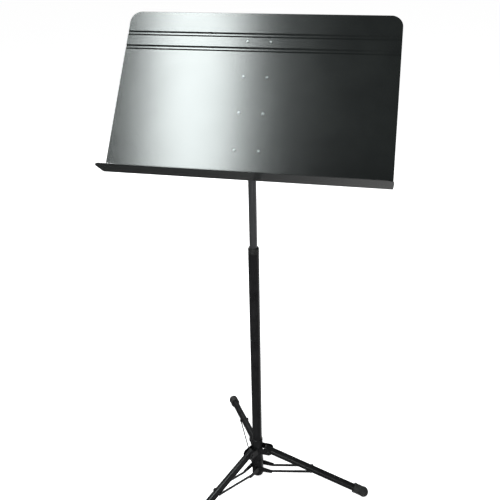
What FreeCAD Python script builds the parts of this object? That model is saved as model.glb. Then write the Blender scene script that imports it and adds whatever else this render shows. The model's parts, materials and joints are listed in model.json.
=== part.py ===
import FreeCAD, Part
import math
import os

# A folding music stand: a sheet-metal desk on a telescoping pole with a folding tripod base.
# Frame: origin on the floor under the pole, +Z up the pole, the desk faces -Y. Millimetres, degrees.

# ---------------------------------------------------------------- driving dimensions

# Desk: one bent aluminium sheet, a panel with a music shelf square to it
DESK_WIDTH = 508.0
DESK_HEIGHT = 321.0
SHELF_DEPTH = 50.8
SHEET = 1.6
BEND_INSIDE_R = 3.0
TOP_CORNER_R = 22.0
SHELF_CORNER_R = 15.0
DESK_TILT = 38.7                      # back from vertical, as it stands
RIB_HEIGHTS = (247.7, 276.4)          # middles of the two stiffening grooves, up the panel
RIB_WIDTH = 9.6
RIB_FLOOR = 3.0
RIB_DEPTH = 1.3                       # pressed backwards, so that pages lie flat
RIB_BEND_R = 2.0                      # on the inside of each bend
RIVET_ROWS = (54.4, 124.1, 193.8, 263.5)
RIVET_COLUMN = 21.7                   # each side of the middle
RIVET_R = 1.6
RIVET_HEAD_R = 2.7
RIVET_HEAD = 1.1

# Tilt bracket: a hat channel riveted to the back of the panel, open below for the neck
BRACKET_SHEET = 1.6
BRACKET_BOTTOM = 38.0
BRACKET_TOP = 270.0
BRACKET_HALF_WIDTH = 31.0
BRACKET_BEND_R = 1.0
BRACKET_CORNER_R = 6.0
CHANNEL_HALF_GAP = 13.0
CHANNEL_DEPTH = 18.0
CROWN_START = 134.0                   # the channel's back is cut away below this
EAR_R = 12.0
EAR_ROOT = 40.0                       # how far below the pivot the ear starts
EAR_FILLET = 6.0
RIB_RELIEF = 0.7                      # room that the bracket leaves round a groove's back

# Tilt pivot: the bolt crosses the pole's axis
PIVOT_Z = 859.0
PIVOT_UP = 97.7                       # up the panel from the shelf
PIVOT_BACK = 21.0                     # behind the panel's front face
BOLT_R = 3.0
BOLT_END = 1.5                        # thread past the nut
BOLT_HEAD_FLATS = 10.0
BOLT_HEAD = 4.0
HEX_CHAMFER = 0.8
NUT_LENGTH = 5.5
NUT_COLLAR_R = 4.2
SPRING_WASHER = 1.6
SPRING_WASHER_R = 5.2
SPRING_WASHER_GAP = 0.8

# Tilt head on the pole
KNUCKLE_R = 12.0
FRICTION_WASHER = 1.1
SIDE_GAP = 0.05                       # between flat faces that turn on each other
SOCKET_R = 10.2
SOCKET_BOTTOM = 808.0
SOCKET_STOP = 837.0
SOCKET_BEAD = 1.0                     # how far the bead round the socket's mouth stands out
SOCKET_BEAD_HEIGHT = 6.0

# Telescoping pole
RUNNING_GAP = 0.05                    # radial, for every running fit
INNER_R = 7.8
TUBE_WALL = 1.2
INNER_BOTTOM = 218.0
END_FLANGE = 2.0
END_PLUG_FLANGE = 3.0
PLUG_LENGTH = 12.0
OUTER_R = 11.0
OUTER_BOTTOM = 12.0
OUTER_TOP = 612.0
CAP_TOP = 624.0
CAP_NOSE_R = 9.6
CAP_SKIRT = 16.0
CAP_GROOVE_Z = 616.2
CAP_GROOVE_DEPTH = 0.6
CAP_GROOVE_WIDTH = 2.0
COLLET_BOTTOM = 578.0
COLLET_TOP = 595.5
COLLET_WAIST = 0.8                    # how deep the band's seat is
COLLET_RIM = 4.0
COLLET_FINGERS = 4
COLLET_SLIT = 1.0
BAND_SHEET = 0.5
BAND_GAP = 2.5
BUSH_LENGTH = 30.0
BUSH_LAND = 10.0
BUSH_RELIEF = 0.6
CLIP_WALL = 1.3
CLIP_THICKNESS = 1.2
CLIP_GAP = 4.0
DIMPLE_Z = 357.5
DIMPLE_AZIMUTH = -25.0
DIMPLE_R = 4.0

# Base hub at the pole's foot
HUB_R = 13.3
HUB_BOTTOM = 9.5
HUB_TOP = 57.9
LUG_INSIDE = 9.65                     # a folded leg and its two straps pass between a pair of lugs
LUG_OUTSIDE = 11.15
LUG_TIP_R = 4.4
LUG_BOTTOM_Z = 25.0
LUG_ROOT_TOP_Z = 39.0
BRACE_PIN_RADIUS = 33.5               # from the pole's axis
BRACE_PIN_Z = 30.0
HUB_RIVET_Z = 18.5
HUB_RIVET_HEAD = 1.6

# Leg collar, which slides on the outer tube and carries the legs
COLLAR_BOTTOM = 58.0
COLLAR_TOP = 119.0
COLLAR_R = 12.5
COLLAR_EAR_INSIDE = 8.4
COLLAR_EAR_OUTSIDE = 10.2
COLLAR_EAR_R = 8.5
LEG_PIVOT_RADIUS = 27.5
LEG_PIVOT_Z = 88.4
LEG_PIN_R = 2.5
LEG_PIN_HEAD_R = 4.2
LEG_PIN_HEAD = 1.8

# Legs, braces and feet
LEG_AZIMUTHS = (-3.3, 116.7, 236.7)
LEG_R = 8.0
LEG_HEEL = 8.5                        # tube beyond the pivot, towards the pole
LEG_CAP = 2.0
LEG_TUBE_END = 230.0
FOOT_REACH = 237.0                    # pivot to the middle of the foot's round end
FOOT_CENTRE_Z = 11.0
FOOT_R = 11.4
FOOT_LENGTH = 24.0                    # from the foot's mouth to the middle of its round end
FOOT_RIM = 4.0
FOOT_GROOVE = 0.6
BRACE_JOINT_RADIUS = 129.0
STRAP_INSIDE = 8.3                    # two flat straps straddle each leg
STRAP_OUTSIDE = 9.6
STRAP_HALF_HEIGHT = 3.3
STUD_R = 2.0
STUD_HEAD_R = 3.4
STUD_HEAD = 1.1
LEG_RIVET_HEAD = 0.1                  # nearly flush, so that the straps clear it

PIERCE = 80.0                         # length of a cutter that goes right through anything

# ---------------------------------------------------------------- derived sizes

LEG_DROP = math.degrees(math.asin((LEG_PIVOT_Z - FOOT_CENTRE_Z) / FOOT_REACH))
BRACE_JOINT_Z = LEG_PIVOT_Z - (BRACE_JOINT_RADIUS - LEG_PIVOT_RADIUS) * math.tan(math.radians(LEG_DROP))
BRACE_JOINT_REACH = math.hypot(BRACE_JOINT_RADIUS - LEG_PIVOT_RADIUS, BRACE_JOINT_Z - LEG_PIVOT_Z)
BRACE_LENGTH = math.hypot(BRACE_JOINT_RADIUS - BRACE_PIN_RADIUS, BRACE_JOINT_Z - BRACE_PIN_Z)
BRACE_RISE = math.degrees(math.asin((BRACE_JOINT_Z - BRACE_PIN_Z) / BRACE_LENGTH))
INNER_TUBE_TOP = SOCKET_STOP - END_FLANGE
INNER_BORE_R = INNER_R - TUBE_WALL
OUTER_BORE_R = OUTER_R - TUBE_WALL
SLIDING_BORE_R = INNER_R + RUNNING_GAP
BACK_FACE = SHEET
FLANGE_BACK = SHEET + BRACKET_SHEET
WEB_OUTSIDE = CHANNEL_HALF_GAP + BRACKET_SHEET
KNUCKLE_HALF_WIDTH = CHANNEL_HALF_GAP - FRICTION_WASHER - 2.0 * SIDE_GAP

X_AXIS = FreeCAD.Vector(1, 0, 0)
Y_AXIS = FreeCAD.Vector(0, 1, 0)
Z_AXIS = FreeCAD.Vector(0, 0, 1)
ORIGIN = FreeCAD.Vector(0, 0, 0)


# ---------------------------------------------------------------- shape helpers

def flat_xy(a, b):
    return FreeCAD.Vector(a, b, 0)


def flat_xz(a, b):
    return FreeCAD.Vector(a, 0, b)


def flat_yz(a, b):
    return FreeCAD.Vector(0, a, b)


def outline(points, plane):
    """A closed wire through corners (a, b) or (a, b, corner radius)."""
    corners = [plane(point[0], point[1]) for point in points]
    starts = []
    middles = []
    ends = []
    for index, point in enumerate(points):
        corner = corners[index]
        radius = point[2] if len(point) > 2 else 0.0
        back = (corners[index - 1] - corner).normalize()
        ahead = (corners[(index + 1) % len(corners)] - corner).normalize()
        half = back.getAngle(ahead) / 2.0
        cut = radius / math.tan(half)
        starts.append(corner + back * cut)
        ends.append(corner + ahead * cut)
        inset = radius / math.sin(half) - radius
        middles.append(corner + (back + ahead).normalize() * inset if radius else None)
    edges = []
    for index in range(len(points)):
        following = (index + 1) % len(points)
        if middles[index]:
            edges.append(Part.Arc(starts[index], middles[index], ends[index]).toShape())
        if (starts[following] - ends[index]).Length > 1e-6:
            edges.append(Part.LineSegment(ends[index], starts[following]).toShape())
    return Part.Wire(edges)


def prism(points, plane, start, push):
    """The outline's face, moved by the vector start and pushed along the vector push."""
    face = Part.Face(outline(points, plane))
    face.translate(start)
    return face.extrude(push)


def turned(points):
    """The outline of (radius, height) corners, turned round the Z axis."""
    return Part.Face(outline(points, flat_xz)).revolve(ORIGIN, Z_AXIS, 360)


def ring(outside_r, inside_r, bottom, top):
    """A plain tube or washer on the Z axis."""
    outside = Part.makeCylinder(outside_r, top - bottom, FreeCAD.Vector(0, 0, bottom))
    inside = Part.makeCylinder(inside_r, top - bottom, FreeCAD.Vector(0, 0, bottom))
    return outside.cut(inside)


def along(shape, direction):
    """Turn a shape made on the Z axis so that it lies along the direction."""
    turned_shape = shape.copy()
    turned_shape.Placement = FreeCAD.Placement(ORIGIN, FreeCAD.Rotation(Z_AXIS, direction))
    return turned_shape


def moved(shape, x, y, z):
    result = shape.copy()
    result.translate(FreeCAD.Vector(x, y, z))
    return result


def mirrored_x(shape):
    return shape.mirror(ORIGIN, X_AXIS)


def mirrored_y(shape):
    return shape.mirror(ORIGIN, Y_AXIS)


def pierced(radius, direction):
    """A long round cutter through the origin, along a direction."""
    return along(Part.makeCylinder(radius, PIERCE, FreeCAD.Vector(0, 0, -PIERCE / 2)), direction)


def slot_gap(outside_r, width, bottom, top):
    """A box that opens a ring on its +X side."""
    return Part.makeBox(outside_r + 1, width, top - bottom, FreeCAD.Vector(0, -width / 2, bottom))


def corner_cutter(radius, depth):
    """What a rounded corner takes off a square corner at +X +Y, depth along Z, centre at the origin."""
    block = Part.makeBox(radius + 1, radius + 1, depth)
    return block.cut(Part.makeCylinder(radius, depth))


def save(shape, name):
    """Write a node, as one solid or as a group of separate solids."""
    if not shape.isValid():
        raise ValueError(name + " isn't a valid shape")
    shape.exportStep("parts/" + name + ".step")


# ---------------------------------------------------------------- desk

def on_desk(shape):
    """Place a shape made with X along the desk, Y behind its front face and Z up the panel."""
    result = shape.copy()
    result.translate(FreeCAD.Vector(0, -PIVOT_BACK, -PIVOT_UP))
    result.rotate(ORIGIN, X_AXIS, -DESK_TILT)
    result.translate(FreeCAD.Vector(0, 0, PIVOT_Z))
    return result


def panel_face(distance, upwards):
    """The panel's face at a distance behind its front, as corners from bottom to top or back down."""
    slope = math.atan2(RIB_DEPTH, (RIB_WIDTH - RIB_FLOOR) / 2)
    shift = distance * math.tan(slope / 2)
    edge = RIB_WIDTH / 2 + shift
    floor = RIB_FLOOR / 2 + shift
    edge_r = RIB_BEND_R + SHEET - distance
    floor_r = RIB_BEND_R + distance
    corners = []
    for height in RIB_HEIGHTS:
        corners.append((distance, height - edge, edge_r / 2))
        corners.append((distance + RIB_DEPTH, height - floor, floor_r / 3))
        corners.append((distance + RIB_DEPTH, height + floor, floor_r / 3))
        corners.append((distance, height + edge, edge_r / 2))
    return corners if upwards else corners[::-1]


def desk_panel():
    outside_r = BEND_INSIDE_R + SHEET
    section = [(-SHELF_DEPTH, 0, SHEET / 3), (BACK_FACE, 0, outside_r)]
    section += panel_face(SHEET, True)
    section += [(BACK_FACE, DESK_HEIGHT, SHEET / 3), (0, DESK_HEIGHT, SHEET / 3)]
    section += panel_face(0.0, False)
    section += [(0, SHEET, BEND_INSIDE_R), (-SHELF_DEPTH, SHEET, SHEET / 3)]
    half = DESK_WIDTH / 2
    panel = prism(section, flat_yz, FreeCAD.Vector(-half, 0, 0), X_AXIS * DESK_WIDTH)

    top_corner = corner_cutter(TOP_CORNER_R, CHANNEL_DEPTH)
    top_corner.rotate(ORIGIN, X_AXIS, 90)
    top_corner = moved(top_corner, half - TOP_CORNER_R, CHANNEL_DEPTH / 2, DESK_HEIGHT - TOP_CORNER_R)
    shelf_corner = corner_cutter(SHELF_CORNER_R, CHANNEL_DEPTH)
    shelf_corner.rotate(ORIGIN, X_AXIS, 180)
    shelf_corner = moved(shelf_corner, half - SHELF_CORNER_R, SHELF_CORNER_R - SHELF_DEPTH, CHANNEL_DEPTH / 2)
    for cutter in (top_corner, shelf_corner):
        panel = panel.cut(cutter).cut(mirrored_x(cutter))
    return panel.cut(rivet_shanks())


def rivet_places():
    return [(side * RIVET_COLUMN, height) for height in RIVET_ROWS for side in (-1, 1)]


def rivet_shanks():
    shank = Part.makeCylinder(RIVET_R, FLANGE_BACK + 2, FreeCAD.Vector(0, 0, -1))
    return Part.makeCompound([moved(along(shank, Y_AXIS), x, 0, z) for x, z in rivet_places()])


def desk_rivets():
    rivet = along(turned([
        (0, -RIVET_HEAD),
        (RIVET_HEAD_R, -RIVET_HEAD, RIVET_HEAD * 0.9),
        (RIVET_HEAD_R, 0),
        (RIVET_R, 0),
        (RIVET_R, FLANGE_BACK),
        (RIVET_HEAD_R, FLANGE_BACK),
        (RIVET_HEAD_R, FLANGE_BACK + RIVET_HEAD, RIVET_HEAD * 0.5),
        (0, FLANGE_BACK + RIVET_HEAD),
    ]), Y_AXIS)
    return Part.makeCompound([moved(rivet, x, 0, z) for x, z in rivet_places()])


def desk_bracket():
    outside_bend = BRACKET_BEND_R + BRACKET_SHEET
    half = BRACKET_HALF_WIDTH
    gap = CHANNEL_HALF_GAP
    crown = CHANNEL_DEPTH - BRACKET_SHEET
    section = [
        (-half, BACK_FACE), (-gap, BACK_FACE, outside_bend),
        (-gap, crown, BRACKET_BEND_R), (gap, crown, BRACKET_BEND_R),
        (gap, BACK_FACE, outside_bend), (half, BACK_FACE),
        (half, FLANGE_BACK), (WEB_OUTSIDE, FLANGE_BACK, BRACKET_BEND_R),
        (WEB_OUTSIDE, CHANNEL_DEPTH, outside_bend), (-WEB_OUTSIDE, CHANNEL_DEPTH, outside_bend),
        (-WEB_OUTSIDE, FLANGE_BACK, BRACKET_BEND_R), (-half, FLANGE_BACK),
    ]
    height = BRACKET_TOP - BRACKET_BOTTOM
    hat = prism(section, flat_xy, FreeCAD.Vector(0, 0, BRACKET_BOTTOM), Z_AXIS * height)

    web_depth = crown - BRACKET_BEND_R
    opening = Part.makeBox(2 * half, CHANNEL_DEPTH, CROWN_START - BRACKET_BOTTOM + 1,
                           FreeCAD.Vector(-half, web_depth, BRACKET_BOTTOM - 1))
    hat = hat.cut(opening)

    ear_back = PIVOT_BACK + EAR_R
    ear = prism([
        (BACK_FACE + outside_bend, PIVOT_UP - EAR_ROOT), (web_depth, PIVOT_UP - EAR_ROOT, EAR_FILLET),
        (ear_back, PIVOT_UP - EAR_R, EAR_R * 0.9), (ear_back, PIVOT_UP + EAR_R, EAR_R * 0.9),
        (web_depth, CROWN_START, EAR_FILLET), (BACK_FACE + outside_bend, CROWN_START),
    ], flat_yz, FreeCAD.Vector(gap, 0, 0), X_AXIS * BRACKET_SHEET)
    hat = hat.fuse([ear, mirrored_x(ear)]).removeSplitter()

    corner = corner_cutter(BRACKET_CORNER_R, CHANNEL_DEPTH)
    corner.rotate(ORIGIN, X_AXIS, 90)
    corner_x = half - BRACKET_CORNER_R
    upper = moved(corner, corner_x, CHANNEL_DEPTH / 2, BRACKET_TOP - BRACKET_CORNER_R)
    corner.rotate(ORIGIN, Y_AXIS, 90)
    lower = moved(corner, corner_x, CHANNEL_DEPTH / 2, BRACKET_BOTTOM + BRACKET_CORNER_R)
    for cutter in (upper, lower):
        hat = hat.cut(cutter).cut(mirrored_x(cutter))
    bolt_hole = moved(pierced(BOLT_R + RUNNING_GAP, X_AXIS), 0, PIVOT_BACK, PIVOT_UP)
    return hat.cut(bolt_hole).cut(rib_relief()).cut(rivet_shanks())


def rib_relief():
    """The notch across the bracket's front where it crosses the lower groove's back."""
    half_height = RIB_WIDTH / 2 + SHEET
    depth = RIB_DEPTH + SHEET + RIB_RELIEF
    corner = FreeCAD.Vector(-BRACKET_HALF_WIDTH, SHEET - RIB_RELIEF, RIB_HEIGHTS[0] - half_height)
    return Part.makeBox(2 * BRACKET_HALF_WIDTH, depth, 2 * half_height, corner)


def hexagon(across_flats, bottom, top):
    """A hexagonal prism on the Z axis with its outer corners turned off."""
    corner_r = across_flats / math.sqrt(3)
    corners = [(corner_r * math.cos(math.radians(60 * step)), corner_r * math.sin(math.radians(60 * step)))
               for step in range(6)]
    block = prism(corners, flat_xy, FreeCAD.Vector(0, 0, bottom), Z_AXIS * (top - bottom))
    turned_off = turned([(0, bottom), (corner_r, bottom), (corner_r, top - HEX_CHAMFER),
                         (across_flats / 2, top), (0, top)])
    return block.common(turned_off)


def at_pivot(shape):
    """Lay a shape made on the Z axis along the tilt pivot's axis, +Z towards +X."""
    return moved(along(shape, X_AXIS), 0, PIVOT_BACK, PIVOT_UP)


def tilt_bolt():
    nut_end = WEB_OUTSIDE + SPRING_WASHER + NUT_LENGTH
    shank = Part.makeCylinder(BOLT_R, WEB_OUTSIDE + nut_end + BOLT_END, FreeCAD.Vector(0, 0, -WEB_OUTSIDE))
    head = hexagon(BOLT_HEAD_FLATS, 0, BOLT_HEAD).mirror(ORIGIN, Z_AXIS)
    return at_pivot(shank.fuse(moved(head, 0, 0, -WEB_OUTSIDE)).removeSplitter())


def tilt_spring_washer():
    bottom = WEB_OUTSIDE
    top = WEB_OUTSIDE + SPRING_WASHER
    washer = ring(SPRING_WASHER_R, BOLT_R + RUNNING_GAP, bottom, top)
    return at_pivot(washer.cut(slot_gap(SPRING_WASHER_R, SPRING_WASHER_GAP, bottom, top)))


def tilt_lock_nut():
    bottom = WEB_OUTSIDE + SPRING_WASHER
    body = hexagon(BOLT_HEAD_FLATS, bottom, bottom + NUT_LENGTH - 1)
    crown = ring(NUT_COLLAR_R, BOLT_R, bottom + NUT_LENGTH - 1, bottom + NUT_LENGTH)
    bore = Part.makeCylinder(BOLT_R, NUT_LENGTH, FreeCAD.Vector(0, 0, bottom))
    return at_pivot(body.cut(bore).fuse(crown).removeSplitter())


# ---------------------------------------------------------------- tilt head and pole

def tilt_head():
    knuckle = Part.makeCylinder(KNUCKLE_R, 2 * KNUCKLE_HALF_WIDTH, FreeCAD.Vector(0, 0, -KNUCKLE_HALF_WIDTH))
    knuckle = moved(along(knuckle, X_AXIS), 0, 0, PIVOT_Z)
    bead_r = SOCKET_R + SOCKET_BEAD
    bead_top = SOCKET_BOTTOM + SOCKET_BEAD_HEIGHT
    socket = turned([
        (0, SOCKET_BOTTOM), (bead_r, SOCKET_BOTTOM, 1), (bead_r, bead_top, 1),
        (SOCKET_R, bead_top + SOCKET_BEAD, 0.5), (SOCKET_R, PIVOT_Z - BOLT_R), (0, PIVOT_Z - BOLT_R),
    ])
    head = knuckle.fuse(socket).removeSplitter()
    bore = Part.makeCylinder(SLIDING_BORE_R, SOCKET_STOP - SOCKET_BOTTOM, FreeCAD.Vector(0, 0, SOCKET_BOTTOM))
    return head.cut(bore).cut(moved(pierced(BOLT_R + RUNNING_GAP, X_AXIS), 0, 0, PIVOT_Z))


def tilt_friction_washers():
    inside = KNUCKLE_HALF_WIDTH + SIDE_GAP
    washer = ring(KNUCKLE_R - 1, BOLT_R + RUNNING_GAP, inside, inside + FRICTION_WASHER)
    washer = moved(along(washer, X_AXIS), 0, 0, PIVOT_Z)
    return Part.makeCompound([washer, mirrored_x(washer)])


def inner_tube():
    return ring(INNER_R, INNER_BORE_R, INNER_BOTTOM, INNER_TUBE_TOP)


def shaft_top_plug():
    return turned([
        (0, INNER_TUBE_TOP - PLUG_LENGTH), (INNER_BORE_R, INNER_TUBE_TOP - PLUG_LENGTH, 1),
        (INNER_BORE_R, INNER_TUBE_TOP),
        (INNER_R, INNER_TUBE_TOP), (INNER_R, SOCKET_STOP, 0.8), (0, SOCKET_STOP),
    ])


def shaft_end_plug():
    flange_r = OUTER_BORE_R - BUSH_RELIEF
    plug_top = INNER_BOTTOM + PLUG_LENGTH
    flange_bottom = INNER_BOTTOM - END_PLUG_FLANGE
    return turned([
        (0, plug_top), (INNER_BORE_R, plug_top, 1), (INNER_BORE_R, INNER_BOTTOM),
        (flange_r, INNER_BOTTOM), (flange_r, flange_bottom, 1), (0, flange_bottom),
    ])


def guide_bush():
    bottom = INNER_BOTTOM + SIDE_GAP
    top = bottom + BUSH_LENGTH
    land_r = OUTER_BORE_R - RUNNING_GAP
    waist_r = land_r - BUSH_RELIEF
    return turned([
        (SLIDING_BORE_R, bottom), (land_r, bottom, 0.6),
        (land_r, bottom + BUSH_LAND, 0.3), (waist_r, bottom + BUSH_LAND + 1, 0.3),
        (waist_r, top - BUSH_LAND - 1, 0.3), (land_r, top - BUSH_LAND, 0.3),
        (land_r, top, 0.6), (SLIDING_BORE_R, top),
    ])


def shaft_clip():
    bottom = INNER_BOTTOM + BUSH_LENGTH + 2 * SIDE_GAP
    top = bottom + CLIP_THICKNESS
    return ring(INNER_R + CLIP_WALL, INNER_R, bottom, top).cut(slot_gap(OUTER_R, CLIP_GAP, bottom, top))


def outer_tube():
    tube = ring(OUTER_R, OUTER_BORE_R, OUTER_BOTTOM, OUTER_TOP)
    punch = Part.makeSphere(DIMPLE_R, FreeCAD.Vector(OUTER_R + DIMPLE_R - TUBE_WALL * 0.6, 0, DIMPLE_Z))
    punch.rotate(ORIGIN, Z_AXIS, DIMPLE_AZIMUTH)
    return tube.cut(punch).cut(across_hub(pierced(STUD_R, Z_AXIS)))


def clutch_cap():
    groove_r = OUTER_R - CAP_GROOVE_DEPTH
    groove_low = CAP_GROOVE_Z - CAP_GROOVE_WIDTH / 2 + CAP_GROOVE_DEPTH
    groove_high = CAP_GROOVE_Z + CAP_GROOVE_WIDTH / 2 - CAP_GROOVE_DEPTH
    return turned([
        (SLIDING_BORE_R, OUTER_TOP - CAP_SKIRT), (OUTER_BORE_R, OUTER_TOP - CAP_SKIRT),
        (OUTER_BORE_R, OUTER_TOP), (OUTER_R, OUTER_TOP),
        (OUTER_R, groove_low - CAP_GROOVE_DEPTH, 0.3), (groove_r, groove_low, 0.3),
        (groove_r, groove_high, 0.3), (OUTER_R, groove_high + CAP_GROOVE_DEPTH, 0.3),
        (OUTER_R, CAP_TOP - 3.0, 2.0), (CAP_NOSE_R, CAP_TOP, 1.2), (SLIDING_BORE_R, CAP_TOP),
    ])


def clutch_collet():
    outside_r = OUTER_BORE_R - RUNNING_GAP
    waist_r = outside_r - COLLET_WAIST
    waist_bottom = COLLET_BOTTOM + COLLET_RIM
    waist_top = COLLET_TOP - COLLET_RIM - END_FLANGE
    body = turned([
        (SLIDING_BORE_R, COLLET_BOTTOM), (outside_r, COLLET_BOTTOM, 0.5), (outside_r, waist_bottom),
        (waist_r, waist_bottom), (waist_r, waist_top), (outside_r, waist_top),
        (outside_r, COLLET_TOP), (SLIDING_BORE_R, COLLET_TOP),
    ])
    for finger in range(COLLET_FINGERS):
        slit = slot_gap(OUTER_R, COLLET_SLIT, COLLET_BOTTOM - 1, COLLET_TOP - COLLET_RIM)
        slit.rotate(ORIGIN, Z_AXIS, 360 / COLLET_FINGERS * (finger + 0.5))
        body = body.cut(slit)
    return body


def clutch_band():
    inside_r = OUTER_BORE_R - COLLET_WAIST
    bottom = COLLET_BOTTOM + COLLET_RIM + 0.5
    top = COLLET_TOP - COLLET_RIM - END_FLANGE - 0.5
    return ring(inside_r + BAND_SHEET, inside_r, bottom, top).cut(slot_gap(OUTER_R, BAND_GAP, bottom, top))


# ---------------------------------------------------------------- hub and collar

def across_hub(shape):
    """Lay a shape made on the Z axis across the hub, between two legs."""
    lying = along(shape, X_AXIS)
    lying.rotate(ORIGIN, Z_AXIS, LEG_AZIMUTHS[0] + 90)
    return moved(lying, 0, 0, HUB_RIVET_Z)


def at_azimuth(shape, azimuth):
    result = shape.copy()
    result.rotate(ORIGIN, Z_AXIS, azimuth)
    return result


def for_each_leg(shape):
    return [at_azimuth(shape, azimuth) for azimuth in LEG_AZIMUTHS]


def base_hub():
    barrel = turned([
        (0, HUB_BOTTOM), (HUB_R, HUB_BOTTOM, 2), (HUB_R, HUB_TOP, 1), (0, HUB_TOP),
    ])
    lug_root = math.sqrt(HUB_R**2 - LUG_OUTSIDE**2) - 1
    lug = prism([
        (lug_root, LUG_BOTTOM_Z), (BRACE_PIN_RADIUS - LUG_TIP_R, LUG_BOTTOM_Z, 2),
        (BRACE_PIN_RADIUS + LUG_TIP_R, BRACE_PIN_Z - LUG_TIP_R, LUG_TIP_R * 0.9),
        (BRACE_PIN_RADIUS + LUG_TIP_R, BRACE_PIN_Z + LUG_TIP_R, LUG_TIP_R * 0.9),
        (HUB_R, LUG_ROOT_TOP_Z, 2), (lug_root, LUG_ROOT_TOP_Z),
    ], flat_xz, Y_AXIS * LUG_INSIDE, Y_AXIS * (LUG_OUTSIDE - LUG_INSIDE))
    pin_hole = moved(pierced(STUD_R, Y_AXIS), BRACE_PIN_RADIUS, 0, BRACE_PIN_Z)
    pair = lug.fuse(mirrored_y(lug)).cut(pin_hole)
    hub = barrel.fuse(for_each_leg(pair)).removeSplitter()
    bore = Part.makeCylinder(OUTER_R, HUB_TOP, FreeCAD.Vector(0, 0, OUTER_BOTTOM))
    return hub.cut(bore).cut(across_hub(pierced(STUD_R, Z_AXIS)))


def rivet_through(round_r, head):
    """A rivet on the Z axis through a round part, with both heads shaped to the part's surface."""
    seat = round_r - 1.0
    half = turned([
        (0, 0), (STUD_R, 0), (STUD_R, seat), (STUD_HEAD_R, seat),
        (STUD_HEAD_R, round_r + head, head * 0.7), (0, round_r + head),
    ])
    rivet = half.fuse(half.mirror(ORIGIN, Z_AXIS)).removeSplitter()
    shank = Part.makeCylinder(STUD_R, 3 * round_r, FreeCAD.Vector(0, 0, -1.5 * round_r))
    return rivet.cut(pierced(round_r, X_AXIS).cut(shank))


def hub_rivet():
    return across_hub(rivet_through(HUB_R, HUB_RIVET_HEAD))


def stud_pair(outside, x, z):
    """Two headed studs, one each side, from a strap's inner face through whatever ends at outside."""
    head = outside + SIDE_GAP
    stud = along(turned([
        (0, STRAP_INSIDE), (STUD_R, STRAP_INSIDE), (STUD_R, head), (STUD_HEAD_R, head),
        (STUD_HEAD_R, head + STUD_HEAD, STUD_HEAD * 0.7), (0, head + STUD_HEAD),
    ]), Y_AXIS)
    stud = moved(stud, x, 0, z)
    return [stud, mirrored_y(stud)]


def hub_brace_pins():
    pins = []
    for azimuth in LEG_AZIMUTHS:
        for stud in stud_pair(LUG_OUTSIDE - SIDE_GAP, BRACE_PIN_RADIUS, BRACE_PIN_Z):
            pins.append(at_azimuth(stud, azimuth))
    return Part.makeCompound(pins)


def leg_collar():
    sleeve = turned([
        (0, COLLAR_BOTTOM), (COLLAR_R, COLLAR_BOTTOM, 0.6), (COLLAR_R, COLLAR_TOP, 1.2), (0, COLLAR_TOP),
    ])
    reach = LEG_PIVOT_RADIUS + COLLAR_EAR_R
    low = LEG_PIVOT_Z - COLLAR_EAR_R
    high = LEG_PIVOT_Z + COLLAR_EAR_R
    ear = prism([
        (5, low), (reach, low, COLLAR_EAR_R * 0.95), (reach, high, COLLAR_EAR_R * 0.95), (5, high),
    ], flat_xz, Y_AXIS * COLLAR_EAR_INSIDE, Y_AXIS * (COLLAR_EAR_OUTSIDE - COLLAR_EAR_INSIDE))
    pin_hole = moved(pierced(LEG_PIN_R, Y_AXIS), LEG_PIVOT_RADIUS, 0, LEG_PIVOT_Z)
    pair = ear.fuse(mirrored_y(ear)).cut(pin_hole)
    collar = sleeve.fuse(for_each_leg(pair)).removeSplitter()
    bore_r = OUTER_R + RUNNING_GAP
    return collar.cut(Part.makeCylinder(bore_r, COLLAR_TOP, FreeCAD.Vector(0, 0, 0)))


def leg_pivot_pins():
    head = COLLAR_EAR_OUTSIDE
    half = turned([
        (0, 0), (LEG_PIN_R, 0), (LEG_PIN_R, head), (LEG_PIN_HEAD_R, head),
        (LEG_PIN_HEAD_R, head + LEG_PIN_HEAD, LEG_PIN_HEAD * 0.7), (0, head + LEG_PIN_HEAD),
    ])
    pin = along(half.fuse(half.mirror(ORIGIN, Z_AXIS)).removeSplitter(), Y_AXIS)
    return Part.makeCompound(for_each_leg(moved(pin, LEG_PIVOT_RADIUS, 0, LEG_PIVOT_Z)))


# ---------------------------------------------------------------- legs and braces

def on_leg(shape, azimuth):
    """Place a shape made along +Z from the leg's pivot, with Y across the leg."""
    result = shape.copy()
    result.rotate(ORIGIN, Y_AXIS, 90 + LEG_DROP)
    result.translate(FreeCAD.Vector(LEG_PIVOT_RADIUS, 0, LEG_PIVOT_Z))
    result.rotate(ORIGIN, Z_AXIS, azimuth)
    return result


def leg_tube(azimuth):
    tube = ring(LEG_R, LEG_R - TUBE_WALL, -LEG_HEEL, LEG_TUBE_END)
    pivot_hole = pierced(LEG_PIN_R + RUNNING_GAP, Y_AXIS)
    rivet_hole = moved(pierced(STUD_R, Y_AXIS), 0, 0, BRACE_JOINT_REACH)
    return on_leg(tube.cut(pivot_hole).cut(rivet_hole), azimuth)


def leg_end_plug(azimuth):
    bore_r = LEG_R - TUBE_WALL
    return on_leg(turned([
        (0, -LEG_HEEL - LEG_CAP), (LEG_R, -LEG_HEEL - LEG_CAP, 1.4), (LEG_R, -LEG_HEEL),
        (bore_r, -LEG_HEEL), (bore_r, -LEG_PIN_R - 1, 0.5), (0, -LEG_PIN_R - 1),
    ]), azimuth)


def leg_rivet(azimuth):
    rivet = rivet_through(LEG_R, LEG_RIVET_HEAD)
    rivet.rotate(ORIGIN, Z_AXIS, 90)
    rivet.rotate(ORIGIN, X_AXIS, 90)
    return on_leg(moved(rivet, 0, 0, BRACE_JOINT_REACH), azimuth)


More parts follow.
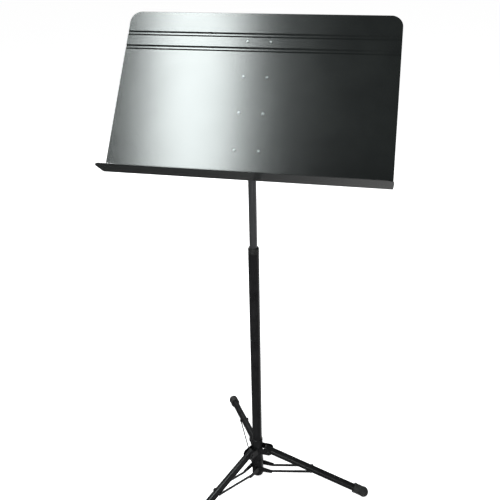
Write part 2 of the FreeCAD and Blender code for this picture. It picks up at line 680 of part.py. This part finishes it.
def foot(azimuth):
    mouth = FOOT_REACH - FOOT_LENGTH
    rim_r = FOOT_R - 0.2
    body = turned([
        (0, mouth), (rim_r, mouth, 0.8), (rim_r, mouth + FOOT_RIM, 0.4),
        (rim_r - FOOT_GROOVE, mouth + FOOT_RIM + 1, 0.4), (FOOT_R - 0.1, FOOT_REACH), (0, FOOT_REACH),
    ])
    round_end = Part.makeSphere(FOOT_R, FreeCAD.Vector(0, 0, FOOT_REACH))
    bore = Part.makeCylinder(LEG_R, LEG_TUBE_END - mouth, FreeCAD.Vector(0, 0, mouth))
    placed = on_leg(body.fuse(round_end).removeSplitter().cut(bore), azimuth)
    size = 4 * FOOT_REACH
    below_floor = Part.makeBox(size, size, FOOT_R, FreeCAD.Vector(-size / 2, -size / 2, -FOOT_R))
    return placed.cut(below_floor)


def on_brace(shape, azimuth):
    """Place a shape made along +X from the brace's hub pin, with Y across the brace."""
    result = shape.copy()
    result.rotate(ORIGIN, Y_AXIS, -BRACE_RISE)
    result.translate(FreeCAD.Vector(BRACE_PIN_RADIUS, 0, BRACE_PIN_Z))
    result.rotate(ORIGIN, Z_AXIS, azimuth)
    return result


def brace_strap():
    """A flat strap with round ends, on the +Y side."""
    half = STRAP_HALF_HEIGHT
    strap = prism([
        (-half, -half, half * 0.99), (BRACE_LENGTH + half, -half, half * 0.99),
        (BRACE_LENGTH + half, half, half * 0.99), (-half, half, half * 0.99),
    ], flat_xz, Y_AXIS * STRAP_INSIDE, Y_AXIS * (STRAP_OUTSIDE - STRAP_INSIDE))
    hole = pierced(STUD_R + RUNNING_GAP, Y_AXIS)
    return strap.cut(hole).cut(moved(hole, BRACE_LENGTH, 0, 0))


def brace_studs(azimuth):
    studs = stud_pair(STRAP_OUTSIDE, BRACE_LENGTH, 0)
    return Part.makeCompound([on_brace(stud, azimuth) for stud in studs])


# ---------------------------------------------------------------- the nodes

def main():
    os.makedirs("parts", exist_ok=True)
    for maker in (desk_panel, desk_rivets, desk_bracket, tilt_bolt, tilt_spring_washer, tilt_lock_nut):
        save(on_desk(maker()), maker.__name__)
    for maker in (tilt_head, tilt_friction_washers, inner_tube, shaft_top_plug, shaft_end_plug, shaft_clip,
                  guide_bush, outer_tube, clutch_cap, clutch_collet, clutch_band,
                  base_hub, hub_rivet, hub_brace_pins, leg_collar, leg_pivot_pins):
        save(maker(), maker.__name__)
    strap = brace_strap()
    for number, azimuth in enumerate(LEG_AZIMUTHS, start=1):
        for maker in (leg_tube, leg_end_plug, leg_rivet, foot, brace_studs):
            save(maker(azimuth), maker.__name__ + "_" + str(number))
        save(on_brace(strap, azimuth), "brace_strap_" + str(number) + "_left")
        save(on_brace(mirrored_y(strap), azimuth), "brace_strap_" + str(number) + "_right")


main()
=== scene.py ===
import bmesh
import bpy
import json
import math
from mathutils import Matrix, Vector


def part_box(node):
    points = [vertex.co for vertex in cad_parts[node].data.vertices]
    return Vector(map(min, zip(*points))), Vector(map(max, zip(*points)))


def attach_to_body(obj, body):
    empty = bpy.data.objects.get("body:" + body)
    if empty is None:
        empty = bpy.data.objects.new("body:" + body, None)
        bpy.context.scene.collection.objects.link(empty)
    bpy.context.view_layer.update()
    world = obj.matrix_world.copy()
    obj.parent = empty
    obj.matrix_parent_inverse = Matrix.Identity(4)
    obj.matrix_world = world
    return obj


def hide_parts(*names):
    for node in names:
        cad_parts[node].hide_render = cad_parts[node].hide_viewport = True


# A folding music stand in a plain pale studio. Metres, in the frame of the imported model:
# origin on the floor under the pole, +Z up the pole, the desk faces -Y.

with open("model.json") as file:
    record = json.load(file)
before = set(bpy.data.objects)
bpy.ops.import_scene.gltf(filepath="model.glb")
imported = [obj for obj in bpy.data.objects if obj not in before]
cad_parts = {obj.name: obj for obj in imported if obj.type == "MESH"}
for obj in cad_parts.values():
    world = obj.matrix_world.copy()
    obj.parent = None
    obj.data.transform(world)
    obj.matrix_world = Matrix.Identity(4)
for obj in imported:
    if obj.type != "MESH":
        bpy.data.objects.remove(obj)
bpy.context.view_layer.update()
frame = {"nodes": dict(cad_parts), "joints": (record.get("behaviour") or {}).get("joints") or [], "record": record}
joints = {joint["name"]: joint for joint in frame["joints"]}
mounts = {mount["name"]: mount for mount in frame["record"]["mounts"]}

# ---------------------------------------------------------------- view and light, driving values

CAMERA_PLACE = (0.2151, -1.0015, 1.1830)
CAMERA_HEADING = 10.5                 # degrees, turned from +Y towards -X
CAMERA_DOWN = 25.55
CAMERA_ROLL = 0.45
CAMERA_LENS = 42.77                   # mm on a 36 mm sensor
CAMERA_SHIFT = (-0.036, -0.070)

KEY_PLACE = (-0.725, -0.885, 2.702)   # middle of the strip light whose reflection lies down the desk
KEY_RUN = (-0.10, 0.582, 0.723)       # direction of the strip's length
KEY_SIZE = (0.44, 1.25)
KEY_POWER = 50.0
KEY_COLOUR = (0.925, 1.0, 0.99)
FILL_PLACE = (2.4, -1.4, 1.2)          # beside the stand on its right
FILL_TARGET = (0.0, 0.0, 0.5)
FILL_SIZE = (1.2, 1.6)
FILL_POWER = 5.0
FRONT_PLACE = (0.3, -2.5, 1.05)        # level with the desk, in front of it
FRONT_SIZE = (1.0, 0.5)
FRONT_POWER = 12.0
REAR_PLACE = (-1.2, 1.65, 1.45)        # high behind the stand on its left
REAR_TARGET = (0.0, 0.0, 0.05)
REAR_SIZE = (0.6, 0.6)
REAR_POWER = 30.0
UPRIGHT = (0, 0, 1)
ROOM_GREY = 0.045
GLOW_TOWARDS = (0.5, 0.6, -0.6)       # the soft bounce from behind and below
GLOW_SHARPNESS = 8.0
GLOW_GREY = 1.1
FLOOR_GLOW = 0.95
FLOOR_HALF = 40.0

# ---------------------------------------------------------------- object, driving values

SHARP_ANGLE = 35.0                    # degrees; a steeper edge is shaded sharp
LEG_NUMBERS = (1, 2, 3)
FOOT_CENTRE = 0.0110                  # height of the middle of a foot's round end
FOOT_ROUND = 0.0114
FOOT_LENGTH = 0.0240                  # from the mouth to the middle of the round end
FOOT_BORE = 0.00805
FOOT_BORE_DEPTH = 0.0170
FOOT_LIP_IN = 0.0002                  # how far inside the round end's radius the lip is
FOOT_LIP = 0.0044                     # length of the lip at the mouth
FOOT_LIP_BENDS = (0.0008, 0.0006)
FOOT_RINGS = 3
FOOT_RING_PITCH = 0.0038
FOOT_RING_IN = 0.0004                 # how far inside the round end's radius the rings are
FOOT_GROOVE_START = 0.0052
FOOT_GROOVE_IN = 0.0012
FOOT_GROOVE_FLOOR = 0.0006
FOOT_GROOVE_SLOPE = 0.0008            # length of each side of a groove
FOOT_GROOVE_BEND = 0.0003
FOOT_RING_BEND = 0.0004
FOOT_BODY_IN = 0.0010
FOOT_END_STEPS = 16

# Welds: body, label, radius of the round part, half the pair's width, lowest and highest point
WELDS = (("pole_base", "hub", 0.0133, 0.01115, 0.0260, 0.0380),
         ("collar", "collar", 0.0125, 0.0102, 0.0810, 0.0958))
BEAD_WIDTH = 0.0022
BEAD_RIPPLE = 0.0016                  # from one ripple to the next
BEAD_RIPPLE_STEPS = 6
BEAD_RIPPLE_HEIGHT = 0.10             # as a share of the bead's width
BEAD_AROUND = 20

INSERT_INSIDE = 0.0031                # the lock nut's nylon ring
INSERT_OUTSIDE = 0.0039
INSERT_LENGTH = 0.0005
INSERT_SUNK = 0.0002
INSERT_BEND = 0.0002
INSERT_AROUND = 48


# ---------------------------------------------------------------- node helpers

class Shader:
    """One node material: a Principled BSDF with a few helpers that wire textures into it."""

    def __init__(self, name):
        self.material = bpy.data.materials.new(name)
        self.material.use_nodes = True
        self.tree = self.material.node_tree
        self.bsdf = self.tree.nodes["Principled BSDF"]
        self.coordinates = self.tree.nodes.new("ShaderNodeTexCoord")

    def set(self, **values):
        for key, value in values.items():
            self.bsdf.inputs[key.replace("_", " ")].default_value = value
        return self

    def link(self, output, target):
        self.tree.links.new(output, target)

    def stretched(self, scale):
        """Object coordinates, in metres, stretched by a scale along each axis."""
        mapping = self.tree.nodes.new("ShaderNodeMapping")
        mapping.inputs["Scale"].default_value = scale
        self.link(self.coordinates.outputs["Object"], mapping.inputs["Vector"])
        return mapping.outputs["Vector"]

    def noise(self, size, detail=2.0, roughness=0.5, stretch=(1, 1, 1)):
        """Noise with features of about this size, in metres."""
        node = self.tree.nodes.new("ShaderNodeTexNoise")
        node.inputs["Scale"].default_value = 1.0 / size
        node.inputs["Detail"].default_value = detail
        node.inputs["Roughness"].default_value = roughness
        self.link(self.stretched(stretch), node.inputs["Vector"])
        return node.outputs["Fac"]

    def cells(self, size, stretch=(1, 1, 1)):
        """Distance to cell middles, for pebbled surfaces, with cells of this size."""
        node = self.tree.nodes.new("ShaderNodeTexVoronoi")
        node.inputs["Scale"].default_value = 1.0 / size
        self.link(self.stretched(stretch), node.inputs["Vector"])
        return node.outputs["Distance"]

    def ranged(self, value, low, high, start=0.3, end=0.7):
        node = self.tree.nodes.new("ShaderNodeMapRange")
        node.inputs["From Min"].default_value = start
        node.inputs["From Max"].default_value = end
        node.inputs["To Min"].default_value = low
        node.inputs["To Max"].default_value = high
        self.link(value, node.inputs["Value"])
        return node.outputs["Result"]

    def mixed(self, factor, first, second):
        """A colour mixed between two colours by a factor."""
        node = self.tree.nodes.new("ShaderNodeMix")
        node.data_type = "RGBA"
        node.inputs["A"].default_value = (*first, 1)
        node.inputs["B"].default_value = (*second, 1)
        self.link(factor, node.inputs["Factor"])
        return node.outputs["Result"]

    def colour(self, output):
        self.link(output, self.bsdf.inputs["Base Color"])

    def roughness(self, output):
        self.link(output, self.bsdf.inputs["Roughness"])

    def bumps(self, *layers):
        """Layers of (height output, strength, depth in metres), each laid over the one before."""
        normal = None
        for height, strength, depth in layers:
            node = self.tree.nodes.new("ShaderNodeBump")
            node.inputs["Strength"].default_value = strength
            node.inputs["Distance"].default_value = depth
            self.link(height, node.inputs["Height"])
            if normal:
                self.link(normal, node.inputs["Normal"])
            normal = node.outputs["Normal"]
        self.link(normal, self.bsdf.inputs["Normal"])


# ---------------------------------------------------------------- materials

def powder_coat():
    """Fine-textured satin black powder coat, a little smoother where pages have rubbed it."""
    shader = Shader("desk_powder_coat")
    patches = shader.noise(0.09, 3.0, 0.55)
    grain = shader.noise(0.0013, 2.0, 0.6)
    pebble = shader.noise(0.0036, 2.0, 0.5)
    shade = shader.ranged(patches, 0.0, 1.0)
    shader.colour(shader.mixed(shade, (0.008, 0.009, 0.009), (0.012, 0.0135, 0.013)))
    shader.roughness(shader.ranged(patches, 0.20, 0.22))
    shader.bumps((pebble, 0.10, 0.00020), (grain, 0.30, 0.00010))
    shader.set(Specular_IOR_Level=0.5)
    return shader.material


def enamel(name, dark, light, rough):
    """Semi-gloss black enamel with a faint orange peel and hand-worn sheen."""
    shader = Shader(name)
    patches = shader.noise(0.03, 3.0, 0.6)
    peel = shader.noise(0.0016, 2.0)
    shader.colour(shader.mixed(shader.ranged(patches, 0.0, 1.0), dark, light))
    shader.roughness(shader.ranged(patches, rough, rough + 0.10))
    shader.bumps((peel, 0.16, 0.00015))
    shader.set(Specular_IOR_Level=0.3)
    return shader.material


def drawn_steel():
    """Grey satin steel tube with a fine drawn grain along it and faint slide marks."""
    shader = Shader("shaft_grey")
    grain = shader.noise(0.0006, 3.0, 0.6, (1, 1, 0.02))
    marks = shader.noise(0.006, 3.0, 0.6, (1, 1, 0.08))
    shader.colour(shader.mixed(shader.ranged(marks, 0.0, 1.0), (0.15, 0.155, 0.16), (0.22, 0.225, 0.235)))
    shader.roughness(shader.ranged(grain, 0.30, 0.42))
    shader.bumps((grain, 0.12, 0.00008))
    shader.set(Metallic=0.85)
    return shader.material


def zinc_plate():
    """Bright zinc plating with small cloudy crystals."""
    shader = Shader("zinc_steel")
    clouds = shader.cells(0.0022)
    shade = shader.ranged(clouds, 0.0, 1.0, 0.0, 0.8)
    shader.colour(shader.mixed(shade, (0.50, 0.51, 0.53), (0.66, 0.66, 0.67)))
    shader.roughness(shader.ranged(shader.noise(0.002), 0.26, 0.42))
    shader.bumps((shader.noise(0.0007), 0.10, 0.0001))
    shader.set(Metallic=1.0)
    return shader.material


def black_oxide(name):
    """Black rivet steel, scuffed a little lighter in patches."""
    shader = Shader(name)
    scuffs = shader.noise(0.0035, 4.0, 0.65)
    shade = shader.ranged(scuffs, 0.0, 1.0, 0.45, 0.75)
    shader.colour(shader.mixed(shade, (0.012, 0.012, 0.013), (0.05, 0.05, 0.052)))
    shader.roughness(shader.ranged(scuffs, 0.28, 0.45))
    shader.bumps((shader.noise(0.0009), 0.15, 0.0001))
    shader.set(Metallic=0.3)
    return shader.material


def black_nickel():
    """Dark plated rivet heads that catch a small bright spot."""
    shader = Shader("desk_rivet_black")
    wear = shader.noise(0.0018, 3.0, 0.6)
    shader.colour(shader.mixed(shader.ranged(wear, 0.0, 1.0), (0.10, 0.105, 0.105), (0.17, 0.175, 0.175)))
    shader.roughness(shader.ranged(wear, 0.24, 0.34))
    shader.bumps((shader.noise(0.0006), 0.08, 0.00005))
    shader.set(Metallic=1.0)
    return shader.material


def nylon(name, dark, light):
    """Moulded nylon with a soft matt skin."""
    shader = Shader(name)
    shader.colour(shader.mixed(shader.ranged(shader.noise(0.008, 3.0), 0.0, 1.0), dark, light))
    shader.roughness(shader.ranged(shader.noise(0.002), 0.40, 0.52))
    shader.bumps((shader.noise(0.0005), 0.12, 0.00008))
    return shader.material


def rubber():
    """Matt black rubber, dusty in patches, with a fine moulded pebble."""
    shader = Shader("foot_rubber")
    dust = shader.noise(0.012, 4.0, 0.65)
    pebble = shader.cells(0.0011)
    shade = shader.ranged(dust, 0.0, 1.0, 0.4, 0.8)
    shader.colour(shader.mixed(shade, (0.013, 0.013, 0.013), (0.040, 0.039, 0.037)))
    shader.roughness(shader.ranged(dust, 0.62, 0.80))
    shader.bumps((pebble, 0.25, 0.0002), (shader.noise(0.006, 3.0), 0.2, 0.0003))
    return shader.material


def make_materials():
    return {
        "desk_powder_coat": powder_coat(),
        "desk_rivet_black": black_nickel(),
        "black_enamel": enamel("black_enamel", (0.008, 0.008, 0.0085), (0.014, 0.014, 0.015), 0.26),
        "strap_black": enamel("strap_black", (0.010, 0.010, 0.0105), (0.018, 0.018, 0.019), 0.30),
        "shaft_grey": drawn_steel(),
        "zinc_steel": zinc_plate(),
        "rivet_black": black_oxide("rivet_black"),
        "nylon_black": nylon("nylon_black", (0.012, 0.012, 0.012), (0.02, 0.02, 0.02)),
        "nylon_natural": nylon("nylon_natural", (0.62, 0.59, 0.50), (0.72, 0.69, 0.60)),
        "foot_rubber": rubber(),
    }


def dress(materials):
    """Give every CAD node the material of its slot."""
    slots = {part["node"]: part["material_slot"] for part in frame["record"]["subparts"]}
    for node, slot in slots.items():
        mesh = frame["nodes"][node].data
        mesh.materials.clear()
        mesh.materials.append(materials[slot])


# ---------------------------------------------------------------- pieces

def rounded(corners, steps=6):
    """Profile points from corners (radius, distance) or (radius, distance, bend), with bends as arcs."""
    points = []
    for index, corner in enumerate(corners):
        place = Vector(corner[:2])
        if len(corner) < 3:
            points.append(place)
            continue
        back = (Vector(corners[index - 1][:2]) - place).normalized()
        ahead = (Vector(corners[index + 1][:2]) - place).normalized()
        half = back.angle(ahead) / 2
        bend = corner[2]
        centre = place + (back + ahead).normalized() * (bend / math.sin(half))
        start = place + back * (bend / math.tan(half)) - centre
        first = math.atan2(start.y, start.x)
        sweep = (math.pi - 2 * half) * (1 if back.x * ahead.y < back.y * ahead.x else -1)
        for step in range(steps + 1):
            angle = first + sweep * step / steps
            points.append(centre + bend * Vector((math.cos(angle), math.sin(angle))))
    return points


def lathe(name, profile, place, direction, around=64):
    """A closed turned piece: (radius, distance) points from axis to axis, or a ring's closed outline."""
    mesh = bmesh.new()
    turn = Vector(direction).to_track_quat("Z", "Y")
    rows = []
    for radius, distance in profile:
        count = around if radius > 1e-7 else 1
        row = []
        for step in range(count):
            angle = 2 * math.pi * step / around
            local = Vector((radius * math.cos(angle), radius * math.sin(angle), distance))
            row.append(mesh.verts.new(Vector(place) + turn @ local))
        rows.append(row)
    pairs = list(zip(rows, rows[1:]))
    if len(rows[0]) > 1:
        pairs.append((rows[-1], rows[0]))
    for near, far in pairs:
        for step in range(around):
            after = (step + 1) % around
            near_edge = [near[step % len(near)], near[after % len(near)]]
            far_edge = [far[after % len(far)], far[step % len(far)]]
            mesh.faces.new(list(dict.fromkeys(near_edge + far_edge)))
    bmesh.ops.recalc_face_normals(mesh, faces=mesh.faces)
    return finished(name, mesh)


def finished(name, mesh):
    """Turn a bmesh into a smooth-shaded object in the scene."""
    data = bpy.data.meshes.new(name)
    mesh.to_mesh(data)
    mesh.free()
    data.shade_smooth()
    data.set_sharp_from_angle(angle=math.radians(SHARP_ANGLE))
    piece = bpy.data.objects.new(name, data)
    bpy.context.collection.objects.link(piece)
    return piece


def attach(piece, body, slot, materials):
    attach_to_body(piece, body)
    piece.data.materials.append(materials[slot])


def weld_bead(name, start, end, width):
    """A rippled bead from start to end."""
    run = Vector(end) - Vector(start)
    ripples = round(run.length / BEAD_RIPPLE)
    steps = BEAD_RIPPLE_STEPS * ripples
    profile = [(0.0, 0.0)]
    for step in range(1, steps):
        along = step / steps
        swell = math.sin(math.pi * along) ** 0.25
        ripple = 1 + BEAD_RIPPLE_HEIGHT * math.cos(2 * math.pi * ripples * along)
        profile.append((width / 2 * swell * ripple, run.length * along))
    profile.append((0.0, run.length))
    return lathe(name, profile, start, run, BEAD_AROUND)


def foot_profile():
    """From the bottom of the bore, out round the lip, along the grip rings and over the round end."""
    lip_r = FOOT_ROUND - FOOT_LIP_IN
    groove_r = FOOT_ROUND - FOOT_GROOVE_IN
    ring_r = FOOT_ROUND - FOOT_RING_IN
    corners = [(0, FOOT_BORE_DEPTH), (FOOT_BORE, FOOT_BORE_DEPTH), (FOOT_BORE, 0),
               (lip_r, 0, FOOT_LIP_BENDS[0]), (lip_r, FOOT_LIP, FOOT_LIP_BENDS[1])]
    for ring in range(FOOT_RINGS):
        start = FOOT_GROOVE_START + ring * FOOT_RING_PITCH
        rise = start + FOOT_GROOVE_FLOOR
        crest = rise + FOOT_GROOVE_SLOPE
        end = start + FOOT_RING_PITCH - FOOT_GROOVE_SLOPE
        corners += [(groove_r, start, FOOT_GROOVE_BEND), (groove_r, rise, FOOT_GROOVE_BEND),
                    (ring_r, crest, FOOT_RING_BEND), (ring_r, end, FOOT_RING_BEND)]
    corners.append((FOOT_ROUND - FOOT_BODY_IN, end + FOOT_GROOVE_SLOPE, FOOT_GROOVE_BEND))
    profile = rounded(corners + [(FOOT_ROUND, FOOT_LENGTH)])
    for step in range(1, FOOT_END_STEPS + 1):
        angle = math.pi / 2 * step / FOOT_END_STEPS
        profile.append((FOOT_ROUND * math.cos(angle), FOOT_LENGTH + FOOT_ROUND * math.sin(angle)))
    return profile


def make_feet(materials):
    """Moulded rubber feet with grip rings, pressed flat where they stand on the floor."""
    for number in LEG_NUMBERS:
        pivot = Vector(joints[f"leg_fold_{number}"]["pos_m"])
        centre = Vector(mounts[f"foot_pad_{number}"]["pos_m"]) + Vector((0, 0, FOOT_CENTRE))
        along = (centre - pivot).normalized()
        foot = lathe(f"rubber_foot_{number}", foot_profile(), centre - along * FOOT_LENGTH, along)
        for vertex in foot.data.vertices:
            vertex.co.z = max(vertex.co.z, 0.0)
        attach(foot, f"leg_{number}", "foot_rubber", materials)
        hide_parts(f"foot_{number}")


def make_welds(materials):
    """Beads where the lugs meet the hub and the ears meet the collar."""
    for body, label, round_r, side, low, high in WELDS:
        reach = math.sqrt(round_r ** 2 - side ** 2)
        for number in LEG_NUMBERS:
            pivot = Vector(joints[f"leg_fold_{number}"]["pos_m"])
            outward = Vector((pivot.x, pivot.y, 0)).normalized()
            for hand, sign in (("left", 1), ("right", -1)):
                line = outward * reach + Vector((-outward.y, outward.x, 0)) * side * sign
                start = line + Vector((0, 0, low))
                end = line + Vector((0, 0, high))
                bead = weld_bead(f"{label}_weld_{number}_{hand}", start, end, BEAD_WIDTH)
                attach(bead, body, "black_enamel", materials)


def make_nut_insert(materials):
    """The nylon ring that grips the tilt bolt's thread, let into the lock nut's end."""
    low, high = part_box("tilt_lock_nut")
    start = Vector((high.x - INSERT_SUNK, (low.y + high.y) / 2, (low.z + high.z) / 2))
    outline = rounded([(INSERT_INSIDE, 0.0), (INSERT_OUTSIDE, 0.0),
                       (INSERT_OUTSIDE, INSERT_LENGTH, INSERT_BEND), (INSERT_INSIDE, INSERT_LENGTH)])
    ring = lathe("lock_nut_insert", outline, start, (1, 0, 0), INSERT_AROUND)
    attach(ring, "desk", "nylon_natural", materials)


# ---------------------------------------------------------------- stage

def make_floor():
    mesh = bpy.data.meshes.new("floor")
    half = FLOOR_HALF
    corners = [(-half, -half, 0), (half, -half, 0), (half, half, 0), (-half, half, 0)]
    mesh.from_pydata(corners, [], [(0, 1, 2, 3)])
    floor = bpy.data.objects.new("floor", mesh)
    bpy.context.collection.objects.link(floor)
    shader = Shader("studio_floor")
    shader.set(Base_Color=(0.80, 0.80, 0.80, 1), Roughness=0.9, Emission_Color=(1, 1, 1, 1),
               Emission_Strength=FLOOR_GLOW, Specular_IOR_Level=0.0)
    mesh.materials.append(shader.material)
    floor.visible_glossy = False


def area_light(name, place, target, run, size, power, colour=(1, 1, 1)):
    """A rectangular light at a place, facing a target, with its second side along run."""
    light = bpy.data.lights.new(name, "AREA")
    light.shape = "RECTANGLE"
    light.size, light.size_y = size
    light.energy = power
    light.color = colour
    lamp = bpy.data.objects.new(name, light)
    bpy.context.collection.objects.link(lamp)
    back = (Vector(place) - Vector(target)).normalized()
    across = Vector(run).cross(back).normalized()
    lamp.matrix_world = (Matrix.Translation(place)
                         @ Matrix((across, back.cross(across), back)).transposed().to_4x4())


def make_lights():
    low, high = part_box("desk_panel")
    desk_middle = (Vector(low) + Vector(high)) / 2
    area_light("key", KEY_PLACE, desk_middle, KEY_RUN, KEY_SIZE, KEY_POWER, KEY_COLOUR)
    area_light("fill", FILL_PLACE, FILL_TARGET, UPRIGHT, FILL_SIZE, FILL_POWER)
    area_light("front", FRONT_PLACE, desk_middle, UPRIGHT, FRONT_SIZE, FRONT_POWER)
    area_light("rear", REAR_PLACE, REAR_TARGET, UPRIGHT, REAR_SIZE, REAR_POWER)


def make_world():
    """A dim even room with one soft glow, brightest towards GLOW_TOWARDS."""
    world = bpy.data.worlds.new("studio")
    world.use_nodes = True
    nodes = world.node_tree.nodes
    link = world.node_tree.links.new
    coordinates = nodes.new("ShaderNodeTexCoord")
    facing = nodes.new("ShaderNodeVectorMath")
    facing.operation = "DOT_PRODUCT"
    facing.inputs[1].default_value = Vector(GLOW_TOWARDS).normalized()
    link(coordinates.outputs["Generated"], facing.inputs[0])
    lit = nodes.new("ShaderNodeMath")
    lit.operation = "MAXIMUM"
    lit.inputs[1].default_value = 0.0
    link(facing.outputs["Value"], lit.inputs[0])
    glow = nodes.new("ShaderNodeMath")
    glow.operation = "POWER"
    glow.inputs[1].default_value = GLOW_SHARPNESS
    link(lit.outputs["Value"], glow.inputs[0])
    level = nodes.new("ShaderNodeMath")
    level.operation = "MULTIPLY_ADD"
    level.inputs[1].default_value = GLOW_GREY
    level.inputs[2].default_value = ROOM_GREY
    link(glow.outputs["Value"], level.inputs[0])
    link(level.outputs["Value"], nodes["Background"].inputs["Color"])
    bpy.context.scene.world = world


def make_camera():
    heading = math.radians(CAMERA_HEADING)
    down = math.radians(CAMERA_DOWN)
    roll = math.radians(CAMERA_ROLL)
    ahead = Vector((-math.sin(heading) * math.cos(down), math.cos(heading) * math.cos(down), -math.sin(down)))
    right = Vector((math.cos(heading), math.sin(heading), 0))
    below = ahead.cross(right)
    rolled_right = math.cos(roll) * right + math.sin(roll) * below
    rolled_up = math.sin(roll) * right - math.cos(roll) * below
    camera = bpy.data.objects.new("camera", bpy.data.cameras.new("camera"))
    bpy.context.collection.objects.link(camera)
    camera.matrix_world = (Matrix.Translation(CAMERA_PLACE)
                           @ Matrix((rolled_right, rolled_up, -ahead)).transposed().to_4x4())
    camera.data.lens = CAMERA_LENS
    camera.data.sensor_width = 36.0
    camera.data.shift_x, camera.data.shift_y = CAMERA_SHIFT
    bpy.context.scene.camera = camera


make_camera()
make_lights()
make_world()
make_floor()
materials = make_materials()
dress(materials)
make_feet(materials)
make_welds(materials)
make_nut_insert(materials)
bpy.context.scene.view_settings.view_transform = "Standard"
